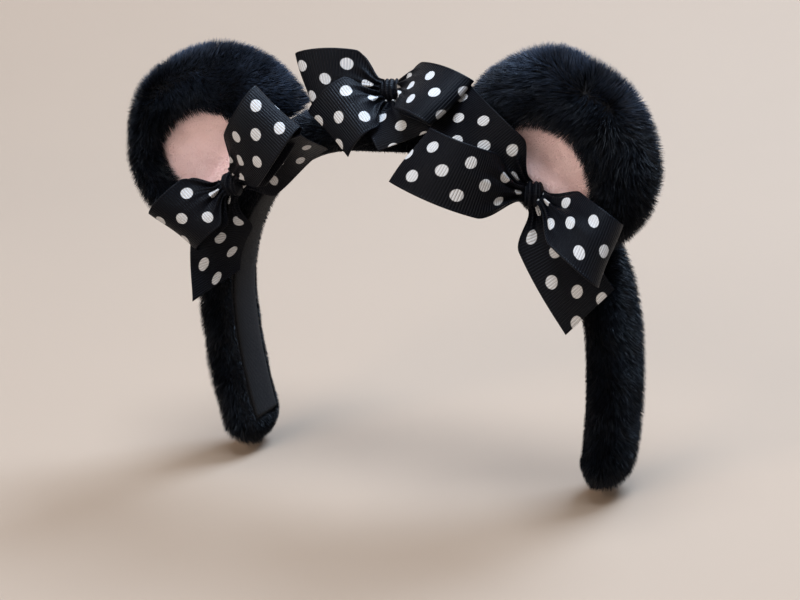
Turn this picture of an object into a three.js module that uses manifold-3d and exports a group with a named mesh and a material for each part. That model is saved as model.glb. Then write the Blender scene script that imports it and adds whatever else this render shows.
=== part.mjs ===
// Animal ears headband: a sprung plastic hoop in a padded fur sleeve, two stuffed fur ears
// and three tied ribbon bows. Millimetres, +Z up, the wearer faces -Y, the wearer's left is +X.
// The origin is the middle of the lining's inner face, where the band rests on the crown of the head.

import * as THREE from 'three';
import { mergeVertices } from 'three/addons/utils/BufferGeometryUtils.js';
import Module from 'manifold-3d';

const wasm = await Module();
wasm.setup();

// The band's inner curve: a short flat at the crown, an elliptical shoulder, an arm that tucks in.
const CROWN_FLAT_HALF = 12;
const SHOULDER_WIDTH = 58;
const SHOULDER_DROP = 63;
const ARM_LENGTH = 53.5;
const ARM_TUCK = 6.5;
const SHOULDER_MEAN_RADIUS = (SHOULDER_WIDTH + SHOULDER_DROP) / 2;
const S_ARM = CROWN_FLAT_HALF + SHOULDER_MEAN_RADIUS * Math.PI / 2;
const S_TIP = S_ARM + ARM_LENGTH;

// The arm flexes below the ear, about the middle of the plastic hoop.
const S_FLEX = CROWN_FLAT_HALF + SHOULDER_MEAN_RADIUS * 76 * Math.PI / 180;
const FLEX_GAP = 0.8;
const FLEX_DEPTH = 4.1;
const SPREAD_RELIEF = Math.tan(7.5 * Math.PI / 180);
const SQUEEZE_RELIEF = Math.tan(4 * Math.PI / 180);

// Layers of the band, as depths outwards from the inner curve.
const LINING = { from: 0, to: 0.8, width: 14, end: S_TIP - 11 };
const HOOP = { from: 3.0, to: 5.2, width: 13, end: S_TIP - 8.4 };
const PADDING = { from: 5.5, to: 9.2, width: 16, end: S_TIP - 8.4 };
const SLEEVE = { centre: 8.5, halfDepth: 7.4, halfWidth: 13, sides: 12, squareness: 0.8 };
const POCKET = { centre: 6.15, halfDepth: 3.9, halfWidth: 9.1, squareness: 0.3, end: S_TIP - 7.6 };
const SLEEVE_TOP = SLEEVE.centre + SLEEVE.halfDepth;

// Each ear leans forward a little over the band at S_EAR.
const S_EAR = CROWN_FLAT_HALF + SHOULDER_MEAN_RADIUS * 39.5 * Math.PI / 180;
const EAR = {
  radius: 35.2,
  backDepth: 12.5,
  frontDepth: 12,
  wall: 4.5,
  baseY: -2,
  lean: 10 * Math.PI / 180,
  backRelief: Math.tan(20 * Math.PI / 180),
  frontRelief: Math.tan(6 * Math.PI / 180),
  baseGap: 0.4,
  sides: 24,
};
// The ears are sewn by hand, so each has its own place, turn towards the middle, and opening for the panel.
const EAR_PLACES = {
  left: { side: 1, rise: 6, slide: 0, turn: 0, opening: { radius: 19, across: 1.2, up: -8 } },
  right: { side: -1, rise: 9, slide: 5, turn: 14 * Math.PI / 180, opening: { radius: 16, across: 7, up: 2 } },
};
const PANEL_LAP = 3;
const BASE_STRIP = { from: SLEEVE_TOP + 0.3, to: SLEEVE_TOP + 1.3, halfLength: 21, yFrom: -5.5, yTo: 1.5 };
const THREAD_RADIUS = 0.4;

// Ribbon bows: ribbon 22 mm wide, gathered to a pinch at the knot.
const RIBBON = { width: 22, pinch: 7, thickness: 0.7 };
const KNOT = { halfR: 4.4, halfU: 5.0, halfN: 3.9 };
const TACK_RADIUS = 1.1;

const COLOURS = {
  fur: { color: 0x0d0e13, roughness: 0.95, metalness: 0 },
  pinkFleece: { color: 0xd8a9a6, roughness: 0.95, metalness: 0 },
  ribbon: { color: 0x141316, roughness: 0.55, metalness: 0 },
  lining: { color: 0x1b1b1f, roughness: 0.7, metalness: 0 },
  plastic: { color: 0x24242a, roughness: 0.45, metalness: 0 },
  foam: { color: 0xbdbbb4, roughness: 1, metalness: 0 },
  filling: { color: 0xe9e7e1, roughness: 1, metalness: 0 },
  felt: { color: 0x17171b, roughness: 1, metalness: 0 },
  thread: { color: 0x101014, roughness: 0.8, metalness: 0 },
};
const materials = {};
for (const [name, look] of Object.entries(COLOURS)) {
  materials[name] = new THREE.MeshStandardMaterial(look);
}

const headband = new THREE.Group();

function addPart(name, geometry, materialName) {
  const mesh = new THREE.Mesh(geometry, materials[materialName]);
  mesh.name = name;
  headband.add(mesh);
}

// ---- closed meshes from rings of points ----

function signedVolume(positions, triangles) {
  const a = new THREE.Vector3();
  const b = new THREE.Vector3();
  const c = new THREE.Vector3();
  let volume = 0;
  for (let i = 0; i < triangles.length; i += 3) {
    a.fromArray(positions, triangles[i] * 3);
    b.fromArray(positions, triangles[i + 1] * 3);
    c.fromArray(positions, triangles[i + 2] * 3);
    volume += a.dot(b.cross(c)) / 6;
  }
  return volume;
}

function geometryFrom(points, triangles) {
  const positions = points.flatMap((p) => [p.x, p.y, p.z]);
  if (signedVolume(positions, triangles) < 0) {
    triangles.reverse();
  }
  const geometry = new THREE.BufferGeometry();
  geometry.setAttribute('position', new THREE.Float32BufferAttribute(positions, 3));
  geometry.setIndex(triangles);
  return geometry;
}

// Rings run round the solid. Without ringLoop the two ends close on a pole each.
function solidFromRings(rings, ringLoop = false, startPole = null, endPole = null) {
  const around = rings[0].length;
  const points = rings.flat();
  const triangles = [];
  const spans = ringLoop ? rings.length : rings.length - 1;
  for (let i = 0; i < spans; i++) {
    const next = (i + 1) % rings.length;
    for (let k = 0; k < around; k++) {
      const k2 = (k + 1) % around;
      const a = i * around + k;
      const b = i * around + k2;
      const c = next * around + k2;
      const d = next * around + k;
      triangles.push(a, b, c, a, c, d);
    }
  }
  if (!ringLoop) {
    const first = points.push(startPole ?? middleOf(rings[0])) - 1;
    const last = points.push(endPole ?? middleOf(rings[rings.length - 1])) - 1;
    const offset = (rings.length - 1) * around;
    for (let k = 0; k < around; k++) {
      const k2 = (k + 1) % around;
      triangles.push(first, k2, k);
      triangles.push(last, offset + k, offset + k2);
    }
  }
  return geometryFrom(points, triangles);
}

function middleOf(ring) {
  const middle = new THREE.Vector3();
  for (const point of ring) {
    middle.add(point);
  }
  return middle.divideScalar(ring.length);
}

function spaced(from, to, count) {
  return Array.from({ length: count }, (_, i) => from + (to - from) * i / (count - 1));
}

function smooth(x) {
  const t = THREE.MathUtils.clamp(x, 0, 1);
  return t * t * (3 - 2 * t);
}

// ---- the band ----

// A point of the inner curve, its direction away from the crown and its outward normal, in X and Z.
function bandFrame(s) {
  const side = s < 0 ? -1 : 1;
  const a = Math.abs(s);
  let x = a;
  let z = 0;
  let tangent = new THREE.Vector2(1, 0);
  if (a > S_ARM) {
    const v = (a - S_ARM) / ARM_LENGTH;
    x = CROWN_FLAT_HALF + SHOULDER_WIDTH - ARM_TUCK * v * v;
    z = -SHOULDER_DROP - ARM_LENGTH * v;
    tangent = new THREE.Vector2(-2 * ARM_TUCK * v, -ARM_LENGTH);
    tangent.normalize();
  } else if (a > CROWN_FLAT_HALF) {
    const angle = (a - CROWN_FLAT_HALF) / SHOULDER_MEAN_RADIUS;
    x = CROWN_FLAT_HALF + SHOULDER_WIDTH * Math.sin(angle);
    z = -SHOULDER_DROP * (1 - Math.cos(angle));
    tangent = new THREE.Vector2(SHOULDER_WIDTH * Math.cos(angle), -SHOULDER_DROP * Math.sin(angle));
    tangent.normalize();
  }
  return {
    at: new THREE.Vector3(side * x, 0, z),
    along: new THREE.Vector3(side * tangent.x, 0, tangent.y),
    out: new THREE.Vector3(-side * tangent.y, 0, tangent.x),
  };
}

function bandPoint(s, y, depth, slide = 0) {
  const frame = bandFrame(s);
  const point = frame.at.clone().addScaledVector(frame.out, depth);
  return point.addScaledVector(frame.along, slide).setY(y);
}

// How far a face at the flex line stands back from it, so that the arm can turn both ways.
function flexRelief(depth) {
  const beyond = depth - FLEX_DEPTH;
  const relief = beyond > 0 ? beyond * SPREAD_RELIEF : -beyond * SQUEEZE_RELIEF;
  return FLEX_GAP / 2 + relief;
}

// side 0 is the crown, between the flex lines; +1 and -1 are the left and right arms.
function bandStations(side, end, count) {
  if (side === 0) {
    return spaced(-S_FLEX, S_FLEX, count);
  }
  return spaced(side * S_FLEX, side * end, count);
}

// At a flex line the ring stands back: away from the crown on an arm, towards it on the crown.
function bandRing(s, section, side) {
  const atFlex = Math.abs(Math.abs(s) - S_FLEX) < 1e-6;
  const away = side === 0 ? -1 : 1;
  return section.map(([y, depth]) => bandPoint(s, y, depth, atFlex ? away * flexRelief(depth) : 0));
}

function stripSection(layer) {
  const half = layer.width / 2;
  return [[-half, layer.from], [half, layer.from], [half, layer.to], [-half, layer.to]];
}

function roundSection(shape, scale = 1) {
  return spaced(0, 2 * Math.PI, SLEEVE.sides + 1).slice(0, -1).map((turn) => {
    const angle = turn + Math.PI / SLEEVE.sides;
    const power = (value) => Math.sign(value) * Math.abs(value) ** shape.squareness;
    const y = shape.halfWidth * scale * power(Math.cos(angle));
    return [y, shape.centre + shape.halfDepth * scale * power(Math.sin(angle))];
  });
}

function bandStrip(layer, side, count) {
  const section = stripSection(layer);
  return solidFromRings(bandStations(side, layer.end, count).map((s) => bandRing(s, section, side)));
}

// The crown's inner face is one true flat, so its stations include both ends of the flat.
function crownLining() {
  const section = stripSection(LINING);
  const bend = spaced(CROWN_FLAT_HALF, S_FLEX, 8);
  const stations = [...bend.map((s) => -s).reverse(), ...bend];
  return solidFromRings(stations.map((s) => bandRing(s, section, 0)));
}

function crownSleeve() {
  const stations = bandStations(0, 0, 19);
  const outer = stations.map((s) => bandRing(s, roundSection(SLEEVE), 0));
  const inner = stations.map((s) => bandRing(s, roundSection(POCKET), 0));
  return solidFromRings([...outer, ...inner.reverse()], true);
}

function armSleeve(side) {
  const pocket = bandStations(side, POCKET.end, 8).map((s) => bandRing(s, roundSection(POCKET), side));
  const wall = bandStations(side, S_TIP - 5, 8).map((s) => bandRing(s, roundSection(SLEEVE), side));
  wall.push(bandRing(side * (S_TIP - 1.5), roundSection(SLEEVE, 0.78), side));
  return solidFromRings(
    [...pocket.reverse(), ...wall],
    false,
    bandPoint(side * POCKET.end, 0, POCKET.centre),
    bandPoint(side * S_TIP, 0, SLEEVE.centre),
  );
}

addPart('crown_lining', crownLining(), 'lining');
addPart('crown_hoop', bandStrip(HOOP, 0, 19), 'plastic');
addPart('crown_padding', bandStrip(PADDING, 0, 19), 'foam');
addPart('crown_fur_sleeve', crownSleeve(), 'fur');
for (const [name, side] of [['left', 1], ['right', -1]]) {
  addPart(`${name}_arm_lining`, bandStrip(LINING, side, 7), 'lining');
  addPart(`${name}_arm_hoop`, bandStrip(HOOP, side, 8), 'plastic');
  addPart(`${name}_arm_padding`, bandStrip(PADDING, side, 8), 'foam');
  addPart(`${name}_arm_fur_sleeve`, armSleeve(side), 'fur');
}

// ---- the ears ----

// The ear's own axes: across its width, up away from the band, and front. Local heights start at its centre.
function earFrame(place) {
  const seat = bandFrame(place.side * S_EAR);
  const hinge = bandPoint(place.side * S_EAR, EAR.baseY, BASE_STRIP.to);
  const up = seat.out.clone().multiplyScalar(Math.cos(EAR.lean)).setY(-Math.sin(EAR.lean));
  const square = seat.out.clone().multiplyScalar(-Math.sin(EAR.lean)).setY(-Math.cos(EAR.lean));
  const cos = Math.cos(place.turn);
  const sin = Math.sin(place.turn);
  const front = square.clone().multiplyScalar(cos).addScaledVector(seat.along, -sin);
  const across = seat.along.clone().multiplyScalar(cos).addScaledVector(square, sin);
  const centre = hinge.clone().addScaledVector(up, place.rise).addScaledVector(seat.along, place.slide);
  return { across, up, front, centre, hinge, along: seat.along, out: seat.out, opening: place.opening };
}

function earPoint(frame, w, u, f) {
  return frame.centre.clone()
    .addScaledVector(frame.across, w).addScaledVector(frame.up, u).addScaledVector(frame.front, f);
}

function earRing(frame, radius, f, w = 0, u = 0) {
  return spaced(0, 2 * Math.PI, EAR.sides + 1).slice(0, -1).map((angle) => (
    earPoint(frame, w + radius * Math.cos(angle), u + radius * Math.sin(angle), f)
  ));
}

// A ring between the ear's outline (blend 0) and the panel's opening (blend 1).
function rimRing(frame, blend, f) {
  const { radius, across, up } = frame.opening;
  return earRing(frame, THREE.MathUtils.lerp(EAR.radius, radius, blend), f, across * blend, up * blend);
}

function earBack(frame) {
  const turns = spaced(0, 75, 6).map(THREE.MathUtils.degToRad);
  const bowl = (radius, depth) => turns.map((turn) => (
    earRing(frame, radius * Math.cos(turn) ** 0.6, -0.15 - depth * Math.sin(turn))
  ));
  const outer = bowl(EAR.radius, EAR.backDepth);
  const inner = bowl(EAR.radius - EAR.wall, EAR.backDepth - EAR.wall);
  return solidFromRings(
    [...outer.reverse(), ...inner],
    false,
    earPoint(frame, 0, 0, -0.15 - EAR.backDepth),
    earPoint(frame, 0, 0, -0.15 - EAR.backDepth + EAR.wall),
  );
}

function earRim(frame) {
  const outer = [
    [0, 0.15], [0.03, 4.5], [0.13, 8.6], [0.32, 11.4], [0.55, EAR.frontDepth], [0.8, 10.6], [1, 7.6],
  ];
  const inner = [[0.93, 6.2], [0.72, 7.4], [0.5, 7.6], [0.3, 5], [0.26, 0.15]];
  return solidFromRings([...outer, ...inner].map(([blend, f]) => rimRing(frame, blend, f)), true);
}

function earPanel(frame) {
  const { radius: opening, across, up } = frame.opening;
  const dish = [[opening / 2, 3.6], [opening + PANEL_LAP, 4.9]];
  const front = dish.map(([radius, f]) => earRing(frame, radius, f, across, up));
  const back = dish.map(([radius, f]) => earRing(frame, radius, f - 1.2, across, up));
  return solidFromRings(
    [...front, ...back.reverse()],
    false,
    earPoint(frame, across, up, 3.4),
    earPoint(frame, across, up, 2.2),
  );
}

function earFilling(frame) {
  const radius = EAR.radius - EAR.wall - 1.8;
  const depth = EAR.backDepth - EAR.wall - 0.5;
  const back = spaced(75, 0, 5).map(THREE.MathUtils.degToRad).map((turn) => (
    earRing(frame, radius * Math.cos(turn) ** 0.6, -0.15 - depth * Math.sin(turn))
  ));
  const front = [earRing(frame, radius - 4, 1.4), earRing(frame, 10, 1.6)];
  return solidFromRings(
    [...back, ...front],
    false,
    earPoint(frame, 0, 0, -0.15 - depth),
    earPoint(frame, 0, 0, 1.7),
  );
}

function toManifold(geometry) {
  const shape = geometry.clone();
  shape.deleteAttribute('normal');
  shape.deleteAttribute('uv');
  const merged = mergeVertices(shape);
  return new wasm.Manifold(new wasm.Mesh({
    numProp: 3,
    vertProperties: new Float32Array(merged.attributes.position.array),
    triVerts: new Uint32Array(merged.index.array),
  }));
}

// A cut can leave a sliver behind, so the largest piece is the part.
function fromManifold(solid) {
  const largest = solid.decompose().sort((a, b) => b.volume() - a.volume())[0];
  const mesh = largest.getMesh();
  const geometry = new THREE.BufferGeometry();
  geometry.setAttribute('position', new THREE.BufferAttribute(new Float32Array(mesh.vertProperties), 3));
  geometry.setIndex(Array.from(mesh.triVerts));
  return geometry;
}

// The ear's base is a shallow ridge on the hinge line, so that the ear can rock on the band.
function baseWedge(frame) {
  const reach = 160;
  const profile = [
    [0, EAR.baseGap],
    [-reach, EAR.baseGap + reach * EAR.frontRelief],
    [reach, EAR.baseGap + reach * EAR.backRelief],
  ];
  return solidFromRings([-reach, reach].map((along) => profile.map(([y, height]) => (
    frame.hinge.clone().addScaledVector(frame.along, along).addScaledVector(frame.out, height)
      .add(new THREE.Vector3(0, y, 0))
  ))));
}

function baseStrip(side) {
  const section = [[BASE_STRIP.yFrom, BASE_STRIP.from], [BASE_STRIP.yTo, BASE_STRIP.from],
    [BASE_STRIP.yTo, BASE_STRIP.to], [BASE_STRIP.yFrom, BASE_STRIP.to]];
  const stations = spaced(S_EAR - BASE_STRIP.halfLength, S_EAR + BASE_STRIP.halfLength, 9);
  return solidFromRings(stations.map((s) => bandRing(side * s, section, 0)));
}

function tube(path, radius, sides) {
  const section = new THREE.Shape(spaced(0, 2 * Math.PI, sides + 1).slice(0, -1).map((angle) => (
    new THREE.Vector2(radius * Math.cos(angle), radius * Math.sin(angle))
  )));
  const geometry = new THREE.ExtrudeGeometry(section, { steps: path.steps, extrudePath: path.curve });
  geometry.deleteAttribute('normal');
  geometry.deleteAttribute('uv');
  return mergeVertices(geometry, 1e-4);
}

// The whip stitches that hold the ear's base: one thread, zigzagging along the front of the strip.
function baseStitches(side) {
  const count = 11;
  const points = spaced(-BASE_STRIP.halfLength + 3, BASE_STRIP.halfLength - 3, count).map((along, i) => (
    bandPoint(side * (S_EAR + along), BASE_STRIP.yFrom - (i % 2 ? 1.0 : 2.0), SLEEVE_TOP + 0.5)
  ));
  return tube({ curve: new THREE.CatmullRomCurve3(points), steps: 2 * count }, THREAD_RADIUS, 6);
}

for (const [name, place] of Object.entries(EAR_PLACES)) {
  const frame = earFrame(place);
  const wedge = toManifold(baseWedge(frame));
  const trimmed = (geometry) => fromManifold(toManifold(geometry).intersect(wedge));
  addPart(`${name}_ear_base_strip`, baseStrip(place.side), 'felt');
  addPart(`${name}_ear_stitches`, baseStitches(place.side), 'thread');
  addPart(`${name}_ear_fur_back`, trimmed(earBack(frame)), 'fur');
  addPart(`${name}_ear_fur_rim`, trimmed(earRim(frame)), 'fur');
  addPart(`${name}_ear_inner_panel`, trimmed(earPanel(frame)), 'pinkFleece');
  addPart(`${name}_ear_filling`, trimmed(earFilling(frame)), 'filling');
}

// ---- the bows ----

// Each bow lies in a plane of its own through its knot: r is across it, u up it, n out of it.
// A limb runs from beside the knot through its bend to its tip, all given as [r, u, n].
// across is the ribbon's width direction at the tip, in degrees up from r; turned tips it out of the plane,
// in degrees at the root and at the tip.
const BOWS = {
  left_bow: {
    knot: [60, -18, -8], azimuth: 25, elevation: 14, tack: [56, -9, -12],
    limbs: {
      crown_loop: {
        root: [-4.9, 1.2, 2], bend: [-20, 4, 24], tip: [-39, 15.5, 11],
        across: 50, opening: 7,
      },
      outer_loop: {
        root: [4.9, -1.8, 1.6], bend: [14, -12, 22], tip: [26.4, -21, 18],
        across: 66, opening: 9, turned: [24, 6],
      },
      crown_tail: {
        root: [-3.6, 4.5, -2], bend: [-14, 15, 20], tip: [-28, 33.5, -11],
        across: 26, opening: 0, turned: [0, 20],
      },
      outer_tail: {
        root: [1.6, -5.8, -2.6], bend: [5, -20, -1.5], tip: [16.5, -40, 1],
        across: 40, opening: 0,
      },
    },
  },
  centre_bow: {
    knot: [1, -2.5, 22.2], azimuth: 15, elevation: 25, tack: [1, -2.5, 12],
    limbs: {
      right_loop: {
        root: [-4.9, 1.2, 1.5], bend: [-17, 4, 5.5], tip: [-30.5, 3.2, 2.5],
        across: 108, opening: 5,
      },
      left_loop: {
        root: [4.9, 0.8, 2], bend: [14, -1, 20.5], tip: [26.2, -7.2, 24.5],
        across: 52, opening: 7, turned: [20, 12],
      },
      right_tail: {
        root: [-3.4, -5.2, 2.6], bend: [-11, -7, 20.5], tip: [-21.5, -16.5, 8.5],
        across: 132, opening: 0,
      },
      left_tail: {
        root: [2.6, -6, 0.4], bend: [5, -14, 12], tip: [10, -24, 12],
        across: 20, opening: 0,
      },
    },
  },
  right_bow: {
    knot: [-59, -18, -10], azimuth: 8, elevation: 12, tack: [-55, -9, -13],
    limbs: {
      crown_loop: {
        root: [2.4, 5.8, 3.2], bend: [12, 15, 26.5], tip: [24, 30, 21],
        across: 140, opening: 7,
      },
      outer_loop: {
        root: [-4.9, -1.8, 1.6], bend: [-14, -7, 9], tip: [-26.8, -16.5, 5.5],
        across: 134, opening: 7,
      },
      crown_tail: {
        root: [4.9, -0.2, -2.4], bend: [16, 9, 2], tip: [37.4, 16, 10],
        across: 100, opening: 0, turned: [0, -50],
      },
      outer_tail: {
        root: [-1.6, -5.8, -2.6], bend: [-13, -20.5, -7], tip: [-12.6, -40.5, -3],
        across: 42, opening: 0, turned: [0, 45],
      },
    },
  },
};

function bowFrame(bow) {
  const azimuth = THREE.MathUtils.degToRad(bow.azimuth);
  const elevation = THREE.MathUtils.degToRad(bow.elevation);
  const n = new THREE.Vector3(Math.sin(azimuth), -Math.cos(azimuth), 0).multiplyScalar(Math.cos(elevation));
  n.z = Math.sin(elevation);
  const r = new THREE.Vector3(Math.cos(azimuth), Math.sin(azimuth), 0);
  const u = n.clone().cross(r);
  return { r, u, n, knot: new THREE.Vector3(...bow.knot) };
}

function bowDirection(frame, [r, u, n]) {
  const direction = frame.r.clone().multiplyScalar(r);
  return direction.addScaledVector(frame.u, u).addScaledVector(frame.n, n);
}

function bowPoint(frame, place) {
  return bowDirection(frame, place).add(frame.knot);
}

// The ribbon's width direction swings from square to the limb, at the knot, to its own at the tip.
function acrossDirection(frame, limb, x) {
  const start = Math.atan2(limb.bend[1], limb.bend[0]) - Math.PI / 2;
  const end = THREE.MathUtils.degToRad(limb.across);
  let turn = (end - start) % Math.PI;
  if (turn > Math.PI / 2) {
    turn -= Math.PI;
  } else if (turn < -Math.PI / 2) {
    turn += Math.PI;
  }
  const angle = start + turn * smooth(x);
  const [rootTurn, tipTurn] = limb.turned ?? [0, 0];
  const tilt = THREE.MathUtils.degToRad(THREE.MathUtils.lerp(rootTurn, tipTurn, smooth(x)));
  const flat = Math.cos(tilt);
  return bowDirection(frame, [Math.cos(angle) * flat, Math.sin(angle) * flat, Math.sin(tilt)]);
}

// A tail runs out once. A loop runs out in front, folds at its tip and comes back behind.
function ribbonLimb(frame, limb) {
  const line = new THREE.QuadraticBezierCurve3(
    bowPoint(frame, limb.root),
    bowPoint(frame, limb.bend),
    bowPoint(frame, limb.tip),
  );
  const isLoop = limb.opening > 0;
  const stations = spaced(0, 1, isLoop ? 21 : 10);
  const reach = stations.map((s) => (isLoop ? Math.sin(Math.PI * s) : s));
  const centres = stations.map((s, i) => {
    const point = line.getPoint(reach[i]);
    const gape = isLoop ? limb.opening / 2 * Math.sin(2 * Math.PI * s) + 1.1 * Math.cos(Math.PI * s) : 0;
    return point.addScaledVector(frame.n, gape);
  });
  const rings = stations.map((s, i) => {
    const before = centres[Math.max(i - 1, 0)];
    const after = centres[Math.min(i + 1, centres.length - 1)];
    const across = acrossDirection(frame, limb, reach[i]);
    const normal = after.clone().sub(before).cross(across).normalize().multiplyScalar(RIBBON.thickness / 2);
    const half = THREE.MathUtils.lerp(RIBBON.pinch, RIBBON.width, smooth(reach[i] * 2.2)) / 2;
    const outline = [[-half, 1], [0, 1], [half, 1], [half, -1], [0, -1], [-half, -1]];
    return outline.map(([along, lift]) => (
      centres[i].clone().addScaledVector(across, along).addScaledVector(normal, lift)
    ));
  });
  return solidFromRings(rings);
}

function bowKnot(frame) {
  const rings = spaced(-60, 60, 5).map(THREE.MathUtils.degToRad).map((turn) => (
    spaced(0, 2 * Math.PI, 11).slice(0, -1).map((angle) => bowPoint(frame, [
      KNOT.halfR * Math.cos(turn) * Math.cos(angle),
      KNOT.halfU * Math.sin(turn),
      KNOT.halfN * Math.cos(turn) * Math.sin(angle),
    ]))
  ));
  return solidFromRings(
    rings,
    false,
    bowPoint(frame, [0, -KNOT.halfU, 0]),
    bowPoint(frame, [0, KNOT.halfU, 0]),
  );
}

// The tack is the bundle of thread from the sleeve's backing to the knot.
function bowTack(bow, frame, sleeve, knot) {
  const foot = new THREE.Vector3(...bow.tack);
  const curve = new THREE.LineCurve3(foot, frame.knot);
  const post = toManifold(tube({ curve, steps: 1 }, TACK_RADIUS, 8));
  return fromManifold(post.subtract(sleeve).subtract(knot));
}

function grownSleeve(gap) {
  const grown = { ...SLEEVE, halfDepth: SLEEVE.halfDepth + gap, halfWidth: SLEEVE.halfWidth + gap };
  const section = roundSection(grown);
  return solidFromRings(bandStations(0, 0, 19).map((s) => bandRing(s, section, 0)));
}

const sleeveKeepOut = toManifold(grownSleeve(0.3));
for (const [name, bow] of Object.entries(BOWS)) {
  const frame = bowFrame(bow);
  addPart(`${name}_knot`, bowKnot(frame), 'ribbon');
  for (const [limbName, limb] of Object.entries(bow.limbs)) {
    addPart(`${name}_${limbName}`, ribbonLimb(frame, limb), 'ribbon');
  }
  const keepOut = toManifold(bowKnot(frame)).translate(frame.knot.clone().negate().toArray())
    .scale(1.08).translate(frame.knot.toArray());
  addPart(`${name}_tack`, bowTack(bow, frame, sleeveKeepOut, keepOut), 'thread');
}

export default headband;
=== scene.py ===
"""Animal ears headband: fur, fleece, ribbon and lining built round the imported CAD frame.

Shapes are worked out in millimetres, in the CAD's axes (+Z up, the wearer faces -Y), and turned into
metres when a mesh is made.
"""
import math

import bpy
import numpy as np
from mathutils import Matrix, Vector
from mathutils.bvhtree import BVHTree


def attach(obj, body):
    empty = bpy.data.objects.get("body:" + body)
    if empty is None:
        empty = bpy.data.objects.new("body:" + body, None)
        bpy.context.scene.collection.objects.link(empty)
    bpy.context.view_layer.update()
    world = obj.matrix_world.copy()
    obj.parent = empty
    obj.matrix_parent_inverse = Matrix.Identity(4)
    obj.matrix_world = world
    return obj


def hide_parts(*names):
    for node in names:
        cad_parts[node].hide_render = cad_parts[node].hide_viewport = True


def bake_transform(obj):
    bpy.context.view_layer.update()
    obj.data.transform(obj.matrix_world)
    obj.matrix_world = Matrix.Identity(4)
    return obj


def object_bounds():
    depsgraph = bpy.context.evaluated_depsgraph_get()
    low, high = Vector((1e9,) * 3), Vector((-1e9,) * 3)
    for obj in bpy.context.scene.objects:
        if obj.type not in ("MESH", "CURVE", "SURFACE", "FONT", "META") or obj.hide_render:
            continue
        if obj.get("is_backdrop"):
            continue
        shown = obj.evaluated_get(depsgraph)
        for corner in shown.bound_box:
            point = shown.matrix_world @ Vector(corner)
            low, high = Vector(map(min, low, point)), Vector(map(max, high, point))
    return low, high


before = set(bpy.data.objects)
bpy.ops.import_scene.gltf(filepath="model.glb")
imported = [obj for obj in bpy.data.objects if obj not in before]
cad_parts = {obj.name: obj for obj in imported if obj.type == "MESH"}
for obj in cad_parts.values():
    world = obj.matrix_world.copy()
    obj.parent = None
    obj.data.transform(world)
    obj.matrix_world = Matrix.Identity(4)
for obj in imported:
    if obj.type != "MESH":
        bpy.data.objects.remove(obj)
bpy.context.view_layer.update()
MM = 0.001
rng = np.random.default_rng(20)

# ---- dimensions shared with the CAD, in millimetres ----

CROWN_FLAT_HALF = 12.0
SHOULDER_WIDTH = 58.0
SHOULDER_DROP = 63.0
ARM_LENGTH = 53.5
ARM_TUCK = 6.5
SHOULDER_MEAN_RADIUS = (SHOULDER_WIDTH + SHOULDER_DROP) / 2
S_ARM = CROWN_FLAT_HALF + SHOULDER_MEAN_RADIUS * math.pi / 2
S_TIP = S_ARM + ARM_LENGTH
S_FLEX = CROWN_FLAT_HALF + SHOULDER_MEAN_RADIUS * math.radians(76)
S_EAR = CROWN_FLAT_HALF + SHOULDER_MEAN_RADIUS * math.radians(39.5)
SLEEVE_CENTRE, SLEEVE_HALF_DEPTH, SLEEVE_HALF_WIDTH, SLEEVE_SQUARENESS = 8.5, 7.4, 13.0, 0.8
SLEEVE_INNER_GAP = 0.3
FLEX_DEPTH = 4.1
BASE_TOP = 17.2
LINING_WIDTH = 14.0
LINING_END = S_TIP - 11
EAR_RADIUS, EAR_BACK_DEPTH = 35.2, 12.5
EAR_BASE_Y, EAR_BASE_GAP, EAR_LEAN = -2.0, 0.4, math.radians(10)
EAR_BACK_RELIEF, EAR_FRONT_RELIEF = math.tan(math.radians(20)), math.tan(math.radians(6))
EAR_PLACES = {
    "left": {"side": 1, "rise": 6.0, "slide": 0.0, "turn": 0.0, "opening": (19.0, 1.2, -8.0)},
    "right": {"side": -1, "rise": 9.0, "slide": 5.0, "turn": math.radians(14), "opening": (16.0, 7.0, 2.0)},
}
PANEL_LAP = 3.0
RIBBON_WIDTH, RIBBON_PINCH, RIBBON_THICKNESS = 22.0, 6.0, 0.35

# ---- dimensions of the Blender pieces, in millimetres ----

# The CAD's fur face is about the middle of the pile: the backing lies below it, the tips stand above it.
BACKING_DEPTH = 2.0
BACKING_INNER = SLEEVE_CENTRE - SLEEVE_HALF_DEPTH + SLEEVE_INNER_GAP
BACKING_OUTER = SLEEVE_CENTRE + SLEEVE_HALF_DEPTH - BACKING_DEPTH
BACKING_HALF_WIDTH = SLEEVE_HALF_WIDTH - BACKING_DEPTH
BACKING_END, END_ROUNDING = S_TIP - 3.2, 8.0
PILE_LENGTH, PILE_WIDTH, PILE_DENSITY = 5.2, 0.19, 9.0
PILE_SPREAD = (0.75, 1.08)
NAP_LENGTHS, NAP_WIDTH, NAP_DENSITY = (0.5, 1.0), 0.16, 16.0
FLEX_BLEND = 9.0
TAPE_THICKNESS, TAPE_SINK, TAPE_RIPPLE = 0.9, 0.15, 0.12
EAR_FOOT_SPAN, EAR_FOOT_WIDTH = 20.0, 6.0
LUMP_HEIGHT, LUMP_LENGTH = 0.6, 26.0
# The fleece runs on below the ear's seam, over the front of the band.
LIP_FORWARD, LIP_DROP, LIP_LENGTH, LIP_SOFTNESS, LIP_MOST_BEND = 8.5, 7.6, 13.0, 4.0, 2.6
PANEL_FACE, PANEL_DISH, PANEL_THICKNESS = 5.4, 0.6, 1.1
DOT_RADIUS, DOT_PITCH, DOT_ROW, DOT_SOFTNESS = 2.05, 15.0, 5.7, 0.12
RIB_PITCH, TWILL_PITCH = 0.9, 1.1
# A ribbon starts inside the knot, this far along from the knot's middle to the root.
ROOT_TUCK = 0.5
WRAPS = 4
KNOT_HALF_LENGTH, KNOT_HALF_HEIGHT, KNOT_HALF_DEPTH = 3.7, 4.3, 3.5
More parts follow.
